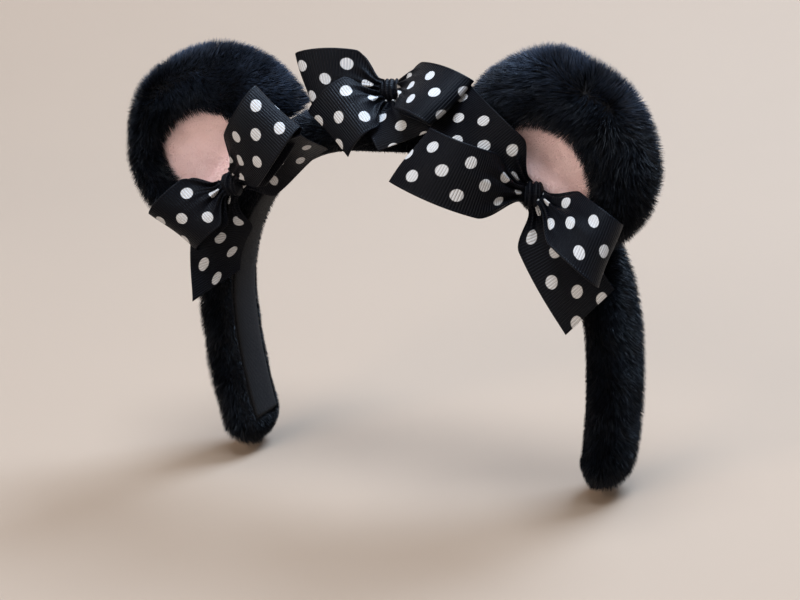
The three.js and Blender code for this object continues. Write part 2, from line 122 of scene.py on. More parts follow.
# Further across than any dot, so the knot shows only the ribbon's ribs.
PLAIN_RIBBON = 20.0
# Each rim is a curve of (blend from the outline to the opening, millimetres forward).
RIM_PROFILE = (
    (0, 0), (0.03, 4.5), (0.13, 8.6), (0.32, 11.4), (0.55, 12), (0.8, 10.6), (0.98, 7.4), (1.0, 4.4))
BACK_TURNS = np.radians(np.linspace(0, 89.5, 60))[:, None]
RIM_ROWS, EAR_COLUMNS = 64, 132
# The share that the shell's foot is drawn in to the seam, how deep in the base it is when the pile stops,
# and how far the rim's inner edge is turned back.
FOOT_TUCK, BARE_FOOT, RIM_HEM = 0.9, 2.0, 4.0

SIDES = (("left", 1), ("right", -1))

# Each limb's root, bend and tip are (r, u, n) in its bow's own axes. Some lie a few millimetres from the
# CAD's, where a soft ribbon falls differently. across is the angle of the ribbon's width at its tip, in
# degrees, and turned tilts that width at the root and the tip. A loop stands open by opening, and a tail's
# opening is 0. phase moves the printed dots along the ribbon.
BOWS = {
    "left_bow": {
        "knot": (60, -18, -8), "azimuth": 25, "elevation": 14,
        "limbs": {
            "crown_loop": {"root": (-4.9, 1.2, 2), "bend": (-20, 4, 24), "tip": (-39, 15.5, 11),
                           "across": 50, "opening": 7, "phase": 3.0},
            "outer_loop": {"root": (4.9, -1.8, 1.6), "bend": (13.5, -12, 22), "tip": (23.6, -21.2, 17),
                           "across": 66, "opening": 10, "turned": (34, 14), "phase": 1.0},
            "crown_tail": {"root": (-3.6, 4.5, -2), "bend": (-14, 15, 20), "tip": (-28, 33.5, -11),
                           "across": 26, "opening": 0, "turned": (0, 20), "phase": 0.0},
            "outer_tail": {"root": (1.6, -5.8, -2.6), "bend": (5, -20, -1.5), "tip": (16.5, -40, 1),
                           "across": 40, "opening": 0, "phase": 5.0},
        },
    },
    "centre_bow": {
        "knot": (1, -2.5, 22.2), "azimuth": 15, "elevation": 25,
        "limbs": {
            "right_loop": {"root": (-4.9, 1.2, 1.5), "bend": (-17, 4, 5.5), "tip": (-30.5, 3.2, 2.5),
                           "across": 108, "opening": 5, "phase": 2.0},
            "left_loop": {"root": (4.9, 0.8, 2), "bend": (14, -3, 20.5), "tip": (27.5, -11, 24.5),
                          "across": 52, "opening": 9, "turned": (30, 20), "phase": 4.0},
            "right_tail": {"root": (-3.4, -5.2, 2.6), "bend": (-11, -7, 20.5), "tip": (-19.5, -16.5, 8.5),
                           "across": 132, "opening": 0, "phase": 1.0},
            "left_tail": {"root": (2.6, -6, 0.4), "bend": (5, -13, 12), "tip": (9.5, -20, 11.5),
                          "across": 20, "opening": 0, "phase": 6.0},
        },
    },
    "right_bow": {
        "knot": (-59, -18, -10), "azimuth": 8, "elevation": 12,
        "limbs": {
            "crown_loop": {"root": (2.4, 5.8, 3.2), "bend": (19, 10.5, 26), "tip": (28, 27.6, 21),
                           "across": 140, "opening": 7, "phase": 2.0},
            "outer_loop": {"root": (-4.9, -1.8, 1.6), "bend": (-12, -9.5, 9), "tip": (-20.8, -17.3, 5.5),
                           "across": 134, "opening": 7, "turned": (0, 28), "phase": 3.0},
            "crown_tail": {"root": (4.9, -0.2, -2.4), "bend": (17, 7, 4), "tip": (38.5, 15.4, 13.5),
                           "across": 100, "opening": 0, "turned": (-20, -74), "phase": 0.0},
            "outer_tail": {"root": (-1.6, -5.8, -2.6), "bend": (-9.5, -19.5, -6), "tip": (-8.6, -37.5, -3),
                           "across": 42, "opening": 0, "turned": (0, 45), "phase": 4.0},
        },
    },
}

# ---- small helpers ----


def unit(v):
    """Vectors scaled to length 1."""
    return v / np.maximum(np.linalg.norm(v, axis=-1, keepdims=True), 1e-9)


def smooth(x):
    """A soft step from 0 to 1 as x goes from 0 to 1."""
    t = np.clip(x, 0, 1)
    return t * t * (3 - 2 * t)


def waves(points, wavelength, seed, count=9):
    """Smooth noise from -1 to 1 at points (n, 3): a sum of sines in fixed directions."""
    draw = np.random.default_rng(seed)
    directions = unit(draw.normal(size=(count, 3)))
    scale = 2 * math.pi / wavelength * draw.uniform(0.7, 1.4, count)
    phase = draw.uniform(0, 2 * math.pi, count)
    total = np.sin(points @ directions.T * scale + phase).sum(axis=-1)
    return total / math.sqrt(count / 2) / 1.8


def make_mesh(name, points, quads=None, tris=None, uvs=None):
    """points in mm; quads and tris are index arrays; uvs maps a layer's name to one (u, v) per point."""
    quads = np.zeros((0, 4), np.int64) if quads is None else np.asarray(quads, np.int64)
    tris = np.zeros((0, 3), np.int64) if tris is None else np.asarray(tris, np.int64)
    corners = np.concatenate([quads.ravel(), tris.ravel()])
    sizes = np.concatenate([np.full(len(quads), 4), np.full(len(tris), 3)])
    mesh = bpy.data.meshes.new(name)
    mesh.vertices.add(len(points))
    mesh.vertices.foreach_set("co", (np.asarray(points, float) * MM).astype(np.float32).ravel())
    mesh.loops.add(len(corners))
    mesh.loops.foreach_set("vertex_index", corners.astype(np.int32))
    mesh.polygons.add(len(sizes))
    mesh.polygons.foreach_set("loop_start", np.concatenate([[0], np.cumsum(sizes)[:-1]]).astype(np.int32))
    mesh.polygons.foreach_set("loop_total", sizes.astype(np.int32))
    mesh.polygons.foreach_set("use_smooth", np.ones(len(sizes), bool))
    for layer, values in (uvs or {}).items():
        uv = mesh.uv_layers.new(name=layer)
        uv.data.foreach_set("uv", np.asarray(values, np.float32)[corners].ravel())
    mesh.validate()
    mesh.update()
    piece = bpy.data.objects.new(name, mesh)
    bpy.context.scene.collection.objects.link(piece)
    return piece


def grid_quads(rows, columns, wrap_columns=False):
    """The quads of a (rows, columns) grid of points, closed round its columns if wrap_columns is true."""
    i = np.arange(rows - 1)[:, None]
    j = np.arange(columns if wrap_columns else columns - 1)[None, :]
    i2, j2 = i + 1, (j + 1) % columns
    corners = [i * columns + j, i * columns + j2, i2 * columns + j2, i2 * columns + j]
    return np.stack(corners, axis=-1).reshape(-1, 4)


def tube_faces(rows, columns):
    """The faces of a tube of rings, closed at each end by a fan to one more point after the rings."""
    k = np.arange(columns)
    k2 = (k + 1) % columns
    first, last = rows * columns, rows * columns + 1
    tris = np.concatenate([
        np.stack([np.full(columns, first), k2, k], -1),
        np.stack([np.full(columns, last), (rows - 1) * columns + k, (rows - 1) * columns + k2], -1),
    ])
    return grid_quads(rows, columns, wrap_columns=True), tris


def closed_tube(name, grid):
    """A tube mesh from a grid whose last column repeats the first, closed at both ends."""
    ring = grid[:, :-1]
    points = np.concatenate([ring.reshape(-1, 3), ring[:1].mean(axis=1), ring[-1:].mean(axis=1)])
    return make_mesh(name, points, *tube_faces(*ring.shape[:2]))


def sheet_mesh(name, upper, lower, layer, uv):
    """A thin closed sheet from the grids of its two faces, with one (u, v) for each grid point."""
    rows, columns = upper.shape[:2]
    size = rows * columns
    front = grid_quads(rows, columns)
    quads = [front, front[:, ::-1] + size]
    for border in (np.arange(columns), (rows - 1) * columns + np.arange(columns)[::-1],
                   np.arange(rows)[::-1] * columns, np.arange(rows) * columns + columns - 1):
        a, b = border[:-1], border[1:]
        quads.append(np.stack([b, a, a + size, b + size], -1))
    points = np.concatenate([upper.reshape(-1, 3), lower.reshape(-1, 3)])
    both_faces = np.concatenate([uv.reshape(-1, 2)] * 2)
    return make_mesh(name, points, np.concatenate(quads), None, {layer: both_faces})


# ---- materials ----


def new_material(name, colour, roughness, **constants):
    """A material with its plain values set on the shader, and the short names for its nodes."""
    material = bpy.data.materials.new(name)
    material.use_nodes = True
    shader = material.node_tree.nodes["Principled BSDF"]
    shader.inputs["Base Color"].default_value = (*colour, 1)
    shader.inputs["Roughness"].default_value = roughness
    for socket, value in constants.items():
        shader.inputs[socket.replace("_", " ")].default_value = value
    return material, Nodes(material)


class Nodes:
    """Short names for the node calls that the materials repeat."""

    def __init__(self, material):
        self.tree = material.node_tree
        self.shader = self.tree.nodes["Principled BSDF"]

    def add(self, kind, **settings):
        node = self.tree.nodes.new(kind)
        for key, value in settings.items():
            setattr(node, key, value)
        return node

    def put(self, value, socket):
        if isinstance(value, bpy.types.NodeSocket):
            self.tree.links.new(value, socket)
        else:
            socket.default_value = value

    def math(self, operation, *values):
        node = self.add("ShaderNodeMath", operation=operation)
        for socket, value in zip(node.inputs, values):
            self.put(value, socket)
        return node.outputs[0]

    def noise(self, vector, scale, detail=3.0, roughness=0.5):
        node = self.add("ShaderNodeTexNoise")
        self.put(vector, node.inputs["Vector"])
        node.inputs["Scale"].default_value = scale
        node.inputs["Detail"].default_value = detail
        node.inputs["Roughness"].default_value = roughness
        return node.outputs["Fac"]

    def place(self, layer=None):
        """Object coordinates, or a UV layer."""
        if layer is None:
            return self.add("ShaderNodeTexCoord").outputs["Object"]
        return self.add("ShaderNodeUVMap", uv_map=layer).outputs["UV"]

    def ramp(self, value, low, high, out_low=0.0, out_high=1.0):
        node = self.add("ShaderNodeMapRange", interpolation_type="SMOOTHSTEP")
        for socket, number in zip(node.inputs, (value, low, high, out_low, out_high)):
            self.put(number, socket)
        return node.outputs[0]

    def mix(self, factor, a, b):
        node = self.add("ShaderNodeMix", data_type="RGBA")
        self.put(factor, node.inputs[0])
        for value, socket in ((a, node.inputs[6]), (b, node.inputs[7])):
            self.put(value if isinstance(value, bpy.types.NodeSocket) else (*value, 1), socket)
        return node.outputs[2]

    def bump(self, height, distance):
        node = self.add("ShaderNodeBump")
        node.inputs["Distance"].default_value = distance
        self.put(height, node.inputs["Height"])
        self.put(node.outputs["Normal"], self.shader.inputs["Normal"])

    def to_colour(self, value):
        self.put(value, self.shader.inputs["Base Color"])

    def to_roughness(self, value):
        self.put(value, self.shader.inputs["Roughness"])


def fur_material():
    """Pile: near black at the root, bluer and paler at the tip, with soft patches; the tips carry a painted
    highlight on top and painted shade on the front.
    """
    material, n = new_material("black_fur_pile", (0.012, 0.013, 0.018), 0.55, Specular_IOR_Level=0.15)
    along = n.add("ShaderNodeSeparateXYZ")
    n.put(n.place("OFBake"), along.inputs[0])
    patch = n.noise(n.place(), 90.0, 2.0)
    tip = n.math("MULTIPLY", n.ramp(along.outputs[1], 0.25, 1.0), n.ramp(patch, 0.3, 0.7, 0.45, 1.0))
    # Painted light: the pale blue tips are kept on top and faded away low down and on the front, as a
    # painted highlight on top and painted shade on the front.
    where = n.add("ShaderNodeSeparateXYZ")
    n.put(n.place(), where.inputs[0])
    shaded_front = n.math("MULTIPLY", n.math("MINIMUM", where.outputs[1], 0.0), 1.1)
    painted_top_light_front_shade = n.math("ADD", where.outputs[2], shaded_front)
    tip = n.math("MULTIPLY", tip, n.ramp(painted_top_light_front_shade, -0.012, 0.040, 0.08, 1.0))
    n.to_colour(n.mix(tip, (0.0006, 0.0008, 0.0016), (0.060, 0.084, 0.138)))
    n.to_roughness(n.ramp(patch, 0.3, 0.7, 0.38, 0.50))
    return material


def backing_material():
    """The fur's woven backing, dark and dull under the pile."""
    material, n = new_material("black_fur_backing", (0.004, 0.004, 0.006), 0.9)
    place = n.place()
    fine = n.noise(place, 1500.0, 4.0, 0.7)
    patch = n.noise(place, 90.0, 2.0)
    n.to_colour(n.mix(patch, (0.003, 0.003, 0.005), (0.007, 0.008, 0.012)))
    n.to_roughness(n.ramp(fine, 0.3, 0.7, 0.8, 1.0))
    n.bump(fine, 0.0006)
    return material


def fleece_material():
    """Brushed pink fleece: soft blotches, fine paler fibres and a little sheen."""
    material, n = new_material(
        "pink_fleece", (0.84, 0.60, 0.58), 0.9, Sheen_Weight=0.3, Sheen_Roughness=0.6)
    place = n.place()
    fine = n.noise(place, 1700.0, 4.0, 0.65)
    blotch = n.noise(place, 120.0, 3.0)
    pale = n.mix(n.ramp(blotch, 0.35, 0.65), (0.86, 0.64, 0.62), (0.92, 0.71, 0.69))
    n.to_colour(n.mix(n.ramp(fine, 0.35, 0.7, 0.0, 0.35), pale, (0.92, 0.74, 0.72)))
    n.to_roughness(n.ramp(fine, 0.3, 0.7, 0.82, 0.98))
    n.bump(n.math("ADD", n.math("MULTIPLY", blotch, 1.5), fine), 0.0004)
    return material


def ribbon_material():
    """Grosgrain: ribs across the ribbon, bound edges and printed dots, from (across, along) in mm."""
    material, n = new_material("dotted_grosgrain", (0.02, 0.02, 0.02), 0.5, Specular_IOR_Level=0.09)
    split = n.add("ShaderNodeSeparateXYZ")
    n.put(n.place("ribbon"), split.inputs[0])
    across, along = split.outputs[0], split.outputs[1]
    wobble = n.math("MULTIPLY", n.math("SUBTRACT", n.noise(n.place(), 500.0, 2.0), 0.5), 0.35)

    def distance_to_dot(row, start):
        side = n.math("SUBTRACT", n.math("ABSOLUTE", across), row)
        run = n.math("WRAP", n.math("ADD", along, start), DOT_PITCH / 2, -DOT_PITCH / 2)
        return n.math("SQRT", n.math("ADD", n.math("POWER", side, 2.0), n.math("POWER", run, 2.0)))

    nearest = n.math("MINIMUM", distance_to_dot(DOT_ROW, 0.0), distance_to_dot(0.0, DOT_PITCH / 2))
    nearest = n.math("ADD", nearest, wobble)
    dot = n.ramp(nearest, DOT_RADIUS - DOT_SOFTNESS, DOT_RADIUS + DOT_SOFTNESS, 1.0, 0.0)
    rib = n.math("SINE", n.math("MULTIPLY", along, 2 * math.pi / RIB_PITCH))
    rib = n.ramp(rib, -0.6, 1.0)
    edge = n.ramp(n.math("ABSOLUTE", across), RIBBON_WIDTH / 2 - 0.9, RIBBON_WIDTH / 2 - 0.6)
    yarn = n.noise(n.place(), 2600.0, 2.0)
    # The black and the printed white are both darker in the grooves between the ribs: partly the yarns' own
    # tone, partly painted shade.
    black = n.mix(rib, (0.0009, 0.0013, 0.0030), (0.0032, 0.0034, 0.0055))
    white = n.mix(rib, (0.44, 0.43, 0.43), (0.58, 0.57, 0.57))
    n.to_colour(n.mix(dot, black, white))
    sheen = n.math("ADD", n.math("MULTIPLY", rib, -0.12), n.ramp(yarn, 0.3, 0.7, 0.46, 0.62))
    n.to_roughness(n.math("ADD", sheen, n.math("MULTIPLY", dot, 0.15)))
    relief = n.math("MULTIPLY", rib, n.math("SUBTRACT", 1.0, n.math("MULTIPLY", edge, 0.8)))
    n.bump(n.math("ADD", relief, n.math("MULTIPLY", yarn, 0.5)), 0.00022)
    return material


def twill_material():
    """The lining tape: slanting ribs, from (across, along) in mm."""
    material, n = new_material("lining_tape", (0.008, 0.008, 0.009), 0.85, Specular_IOR_Level=0.2)
    split = n.add("ShaderNodeSeparateXYZ")
    n.put(n.place("tape"), split.inputs[0])
    slant = n.math("MULTIPLY", n.math("ADD", split.outputs[0], split.outputs[1]), 2 * math.pi / TWILL_PITCH)
    rib = n.ramp(n.math("SINE", slant), -0.8, 0.8)
    yarn = n.noise(n.place(), 1800.0, 3.0)
    n.to_colour(n.mix(n.math("MULTIPLY", rib, yarn), (0.004, 0.004, 0.005), (0.014, 0.014, 0.017)))
    n.to_roughness(n.ramp(yarn, 0.3, 0.7, 0.65, 0.85))
    n.bump(n.math("ADD", rib, yarn), 0.00025)
    return material


def grained_material(name, dark, light, scale, roughness, relief):
    """A plain finish for the hidden pieces: two tones, a grain and its relief."""
    material, n = new_material(name, light, sum(roughness) / 2)
    grain = n.noise(n.place(), scale, 4.0, 0.6)
    n.to_colour(n.mix(n.ramp(grain, 0.3, 0.7), dark, light))
    n.to_roughness(n.ramp(grain, 0.3, 0.7, *roughness))
    n.bump(grain, relief)
    return material


FUR = fur_material()
BACKING = backing_material()
FLEECE = fleece_material()
GROSGRAIN = ribbon_material()
TAPE = twill_material()
THREAD = grained_material(
    "black_thread", (0.006, 0.006, 0.008), (0.03, 0.03, 0.036), 3000.0, (0.55, 0.8), 0.0003)
PLASTIC = grained_material(
    "hoop_plastic", (0.016, 0.016, 0.019), (0.022, 0.022, 0.026), 900.0, (0.35, 0.5), 0.00005)
FOAM = grained_material(
    "padding_foam", (0.42, 0.41, 0.38), (0.56, 0.55, 0.51), 700.0, (0.85, 1.0), 0.0006)
FILLING = grained_material(
    "ear_filling", (0.70, 0.69, 0.66), (0.84, 0.83, 0.80), 400.0, (0.9, 1.0), 0.0010)
FELT = grained_material(
    "base_felt", (0.006, 0.006, 0.008), (0.018, 0.018, 0.022), 1400.0, (0.85, 1.0), 0.0005)
HIDDEN_PIECES = {
    "hoop": PLASTIC, "padding": FOAM, "filling": FILLING,
    "base_strip": FELT, "stitches": THREAD, "tack": THREAD,
}

for node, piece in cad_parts.items():
    for part_of_name, material in HIDDEN_PIECES.items():
        if part_of_name in node:
            piece.data.materials.clear()
            piece.data.materials.append(material)


def finish_piece(piece, material, body, replaced=()):
    """Gives a piece its material and slot, hides the CAD nodes it replaces, and attaches it to its body if
    it has one.
    """
    piece.data.materials.append(material)
    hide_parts(*replaced)
    if body is not None:
        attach(piece, body)


# ---- the camera, at the photograph's viewing angle ----

VIEW_AZIMUTH, VIEW_ELEVATION, VIEW_ROLL = math.radians(29.8), math.radians(17.6), math.radians(-4.9)
VIEW_DISTANCE, LENS = 0.6595, 82.4
TARGET_DROP, TARGET_RIGHT, TARGET_UP = 0.050, -0.0034, -0.0047

back = Vector((math.sin(VIEW_AZIMUTH) * math.cos(VIEW_ELEVATION),
               -math.cos(VIEW_AZIMUTH) * math.cos(VIEW_ELEVATION), math.sin(VIEW_ELEVATION)))
level_right = Vector((math.cos(VIEW_AZIMUTH), math.sin(VIEW_AZIMUTH), 0))
level_up = back.cross(level_right)
view_right = level_right * math.cos(VIEW_ROLL) + level_up * math.sin(VIEW_ROLL)
view_up = back.cross(view_right)
target = Vector((0, 0, -TARGET_DROP)) + level_right * TARGET_RIGHT + level_up * TARGET_UP
camera_data = bpy.data.cameras.new("camera")
camera_data.lens = LENS
camera_data.clip_start = 0.01
camera_data.clip_end = 20
camera = bpy.data.objects.new("camera", camera_data)
turn = Matrix((view_right, view_up, back)).transposed().to_4x4()
camera.matrix_world = Matrix.Translation(target + back * VIEW_DISTANCE) @ turn
bpy.context.scene.collection.objects.link(camera)
bpy.context.scene.camera = camera

# ---- the band's curve ----


def band_frame(s):
    """The inner curve at s (an array): points, directions away from the crown, and outward normals."""
    s = np.asarray(s, float)
    side = np.where(s < 0, -1.0, 1.0)
    a = np.abs(s)
    v = (a - S_ARM) / ARM_LENGTH
    angle = np.clip((a - CROWN_FLAT_HALF) / SHOULDER_MEAN_RADIUS, 0, math.pi / 2)
    x = np.where(a <= CROWN_FLAT_HALF, a, CROWN_FLAT_HALF + SHOULDER_WIDTH * np.sin(angle))
    z = -SHOULDER_DROP * (1 - np.cos(angle))
    tx = np.where(a <= CROWN_FLAT_HALF, 1.0, SHOULDER_WIDTH * np.cos(angle))
    tz = np.where(a <= CROWN_FLAT_HALF, 0.0, -SHOULDER_DROP * np.sin(angle))
    on_arm = a > S_ARM
    x = np.where(on_arm, x - ARM_TUCK * v * v, x)
    z = np.where(on_arm, -SHOULDER_DROP - ARM_LENGTH * v, z)
    tx = np.where(on_arm, -2 * ARM_TUCK * v, tx)
    tz = np.where(on_arm, -ARM_LENGTH, tz)
    length = np.hypot(tx, tz)
    tx, tz = tx / length, tz / length
    zero = np.zeros_like(a)
    at = np.stack([side * x, zero, z], -1)
    along = np.stack([side * tx, zero, tz], -1)
    out = np.stack([np.abs(tz) * side, zero, tx], -1)
    return at, along, out


def band_point(s, y, depth):
    """Points at s along the band, y across it and depth out from its inner face."""
    at, _, out = band_frame(s)
    point = at + out * np.asarray(depth)[..., None]
    point[..., 1] = y
    return point


# ---- pile ----


def shortened(roots, tips, blockers, clearance=0.35):
    """How much of each strand is left when it stops short of the pieces in blockers."""
    keep = np.ones(len(roots))
    run = tips - roots
    length = np.linalg.norm(run, axis=1)
    for tree, low, high in blockers:
        near = np.all((np.maximum(roots, tips) > low) & (np.minimum(roots, tips) < high), axis=1)
        for i in np.nonzero(near)[0]:
            distance = tree.ray_cast(Vector(roots[i]), Vector(run[i] / length[i]), length[i] + clearance)[3]
            if distance is not None:
                keep[i] = min(keep[i], max(distance - clearance, 0.0) / length[i])
    return keep


STRAND_LEAN, STRAND_LEAN_CHANGE, STRAND_FLOW, STRAND_STRAY, STRAND_TUFT = 0.62, 0.22, 0.55, 0.13, 0.08
LEAN_LENGTH, FLOW_LENGTH, TUFT_LENGTH = 22.0, 16.0, 3.4
SHORTEST_SHARE = 0.12
# Each strand's corners, as (share of its length, sideways in the texture), for the OFBake layer.
STRAND_CORNERS = ((0.02, -0.01), (0.02, 0.01), (0.5, 0.01), (0.5, -0.01), (0.98, 0.0))


def pile(name, roots, normals, comb, lengths, width, blockers, seed):
    """Fur strands as flat tapered blades that leave the backing square to it and bend over along comb."""
    draw = np.random.default_rng(seed)
    count = len(roots)
    lean = np.clip(STRAND_LEAN + STRAND_LEAN_CHANGE * waves(roots, LEAN_LENGTH, seed + 1), 0.2, 1.0)
    stray = unit(draw.normal(size=(count, 3)))
    flow = np.stack([waves(roots, FLOW_LENGTH, seed + k) for k in (11, 12, 13)], -1)
    sideways = comb + STRAND_FLOW * flow
    sideways = unit(sideways - normals * (sideways * normals).sum(-1, keepdims=True))
    direction = unit(normals + sideways * lean[:, None] + stray * STRAND_STRAY)
    tuft = np.stack([waves(roots, TUFT_LENGTH, seed + k, 12) for k in (21, 22, 23)], -1)
    direction = unit(direction + tuft * STRAND_TUFT)
    keep = shortened(roots, roots + direction * lengths[:, None], blockers)
    alive = keep > SHORTEST_SHARE
    roots, normals, direction = roots[alive], normals[alive], direction[alive]
    lengths = lengths[alive] * keep[alive]
    count = len(roots)
    middle = roots + unit(normals * 0.55 + direction) * (lengths * 0.52)[:, None]
    tips = roots + direction * lengths[:, None]
    side = unit(np.cross(direction, draw.normal(size=(count, 3)))) * (width / 2)
    side = side * draw.uniform(0.75, 1.25, (count, 1))
    points = np.stack([roots - side, roots + side, middle + side * 0.8, middle - side * 0.8, tips], 1)
    first = np.arange(count)[:, None] * len(STRAND_CORNERS)
    quads = first + np.array([[0, 1, 2, 3]])
    tris = first + np.array([[3, 2, 4]])
    u = draw.uniform(0.02, 0.98, count)
    uv = np.stack([
        np.stack([u, np.full(count, level)], -1) + [[offset, 0]] for level, offset in STRAND_CORNERS
    ], 1)
    return make_mesh(name, points.reshape(-1, 3), quads, tris, {"OFBake": uv.reshape(-1, 2)})


def surface_samples(points, normals, comb, density, seed, keep_out, extra=None, wanted_cells=None):
    """Even random places on a (rows, columns, 3) grid surface, density to the square mm.

    Gives the places, their normals and their comb directions, and the field extra there if there is one.
    """
    draw = np.random.default_rng(seed)
    a, b = points[:-1, :-1], points[:-1, 1:]
    c, d = points[1:, 1:], points[1:, :-1]
    area = np.linalg.norm(np.cross(c - a, d - b), axis=-1) / 2
    area = np.where(keep_out[:-1, :-1] | keep_out[1:, 1:], 0, area)
    if wanted_cells is not None:
        area = np.where(wanted_cells[:-1, :-1], area, 0)
    wanted = area * density
    count = np.floor(wanted + draw.uniform(size=wanted.shape)).astype(int)
    row, column = np.nonzero(count)
    row, column = np.repeat(row, count[row, column]), np.repeat(column, count[row, column])
    fr, fc = draw.uniform(size=(2, len(row), 1))

    def at(field):
        top = field[row, column] * (1 - fc) + field[row, column + 1] * fc
        low = field[row + 1, column] * (1 - fc) + field[row + 1, column + 1] * fc
        return top * (1 - fr) + low * fr

    placed = [at(points), unit(at(normals)), unit(at(comb))]
    if extra is not None:
        placed.append(at(extra[..., None])[:, 0])
    return placed


def grid_normals(points, centre_out):
    """Normals of a grid surface, turned to the side that centre_out (same shape) points to."""
    du = np.gradient(points, axis=0)
    dv = np.gradient(points, axis=1)
    normal = unit(np.cross(du, dv))
    flip = np.sign((normal * centre_out).sum(-1, keepdims=True))
    return normal * np.where(flip == 0, 1, flip)


# ---- ribbons ----


def bow_axes(bow):
    """The bow's r, u and n directions as rows, and its knot's middle. n points out of the bow's front."""
    azimuth, elevation = math.radians(bow["azimuth"]), math.radians(bow["elevation"])
    n = np.array([math.sin(azimuth) * math.cos(elevation), -math.cos(azimuth) * math.cos(elevation),
                  math.sin(elevation)])
    r = np.array([math.cos(azimuth), math.sin(azimuth), 0.0])
    return np.array([r, np.cross(n, r), n]), np.array(bow["knot"], float)


def limb_across(limb, x):
    """The direction of the ribbon's width at x, from 0 at the knot to 1 at the tip, in the bow's axes."""
    start = math.atan2(limb["bend"][1], limb["bend"][0]) - math.pi / 2
    turn = math.fmod(math.radians(limb["across"]) - start, math.pi)
    if turn > math.pi / 2:
        turn -= math.pi
    elif turn < -math.pi / 2:
        turn += math.pi
    angle = start + turn * smooth(x)
    root_turn, tip_turn = limb.get("turned", (0, 0))
    tilt = np.radians(root_turn + (tip_turn - root_turn) * smooth(x))
    return np.stack([np.cos(angle) * np.cos(tilt), np.sin(angle) * np.cos(tilt), np.sin(tilt)], -1)


LOOP_ROWS, TAIL_ROWS, RIBBON_COLUMNS = 132, 72, 61
PLEAT_HEIGHT, PLEAT_REACH, PLEATS = 1.15, 0.42, 3.4
CREASES = 3
SWAY = 0.4


def ribbon_limb(name, bow, limb, seed):
    """A ribbon loop or tail, pleated at the knot and smoothing out along its length.

    Gives the piece, the ribbon's length in mm, and the grid of its middle surface.
    """
    axes, knot = bow_axes(bow)
    is_loop = limb["opening"] > 0
    s = np.linspace(0, 1, LOOP_ROWS if is_loop else TAIL_ROWS)
    reach = np.sin(math.pi * s) if is_loop else s
    root, bend, tip = (np.array(limb[key], float) for key in ("root", "bend", "tip"))
    root = root * ROOT_TUCK
    t = reach[:, None]
    centre = root * (1 - t) ** 2 + bend * 2 * t * (1 - t) + tip * t * t
    if is_loop:
        centre[:, 2] += limb["opening"] / 2 * np.sin(2 * math.pi * s) + 1.1 * np.cos(math.pi * s)
    across = limb_across(limb, reach)
    normal = unit(np.cross(np.gradient(centre, axis=0), across))
    half = (RIBBON_PINCH + (RIBBON_WIDTH - RIBBON_PINCH) * smooth((reach - 0.05) * 3.4)) / 2
    v = np.linspace(-1, 1, RIBBON_COLUMNS)
    draw = np.random.default_rng(seed)

    # short pleats beside the knot, each a rounded ridge with a sharp valley
    gather = (1 - smooth(reach / PLEAT_REACH))[:, None]
    fan = v[None, :] * PLEATS + draw.uniform(-0.4, 0.4) + 0.35 * np.sin(2.1 * v[None, :] + seed)
    lift = PLEAT_HEIGHT * gather * (2 * np.abs(np.sin(math.pi / 2 * fan)) - 1)

    # a few creases run on from the pleats towards the tip
    for crease in range(CREASES):
        at = draw.uniform(-0.7, 0.7)
        reach_out = draw.uniform(0.5, 0.95)
        depth = draw.uniform(0.5, 1.0) * (1 if crease % 2 else -1)
        slope = at * (0.45 + 0.55 * reach)[:, None]
        width = (0.07 + 0.16 * reach)[:, None]
        ridge = np.exp(-np.abs((v[None, :] - slope) / width) ** 1.6)
        lift = lift + depth * ridge * (1 - smooth(reach / reach_out))[:, None]
    lift *= smooth(reach * 9)[:, None]
    lift += SWAY * np.sin(2.3 * v[None, :] + 5 * s[:, None] + seed) * smooth(reach * 2)[:, None]
    place = centre[:, None, :] + across[:, None, :] * (half[:, None] * v[None, :])[..., None]
    place = place + normal[:, None, :] * lift[..., None]
    run = np.concatenate([[0], np.cumsum(np.linalg.norm(np.diff(centre, axis=0), axis=1))])
    flat_uv = np.broadcast_arrays(v[None, :] * RIBBON_WIDTH / 2, run[:, None] + limb["phase"])
    flat_uv = np.stack(flat_uv, -1)
    facing = np.broadcast_to(normal[:, None, :], place.shape)
    thick = grid_normals(place, facing) * RIBBON_THICKNESS / 2
    upper = (place + thick) @ axes + knot
    lower = (place - thick) @ axes + knot
    return sheet_mesh(name, upper, lower, "ribbon", flat_uv), float(run[-1]), place @ axes + knot


KNOT_GRID = (96, 84)


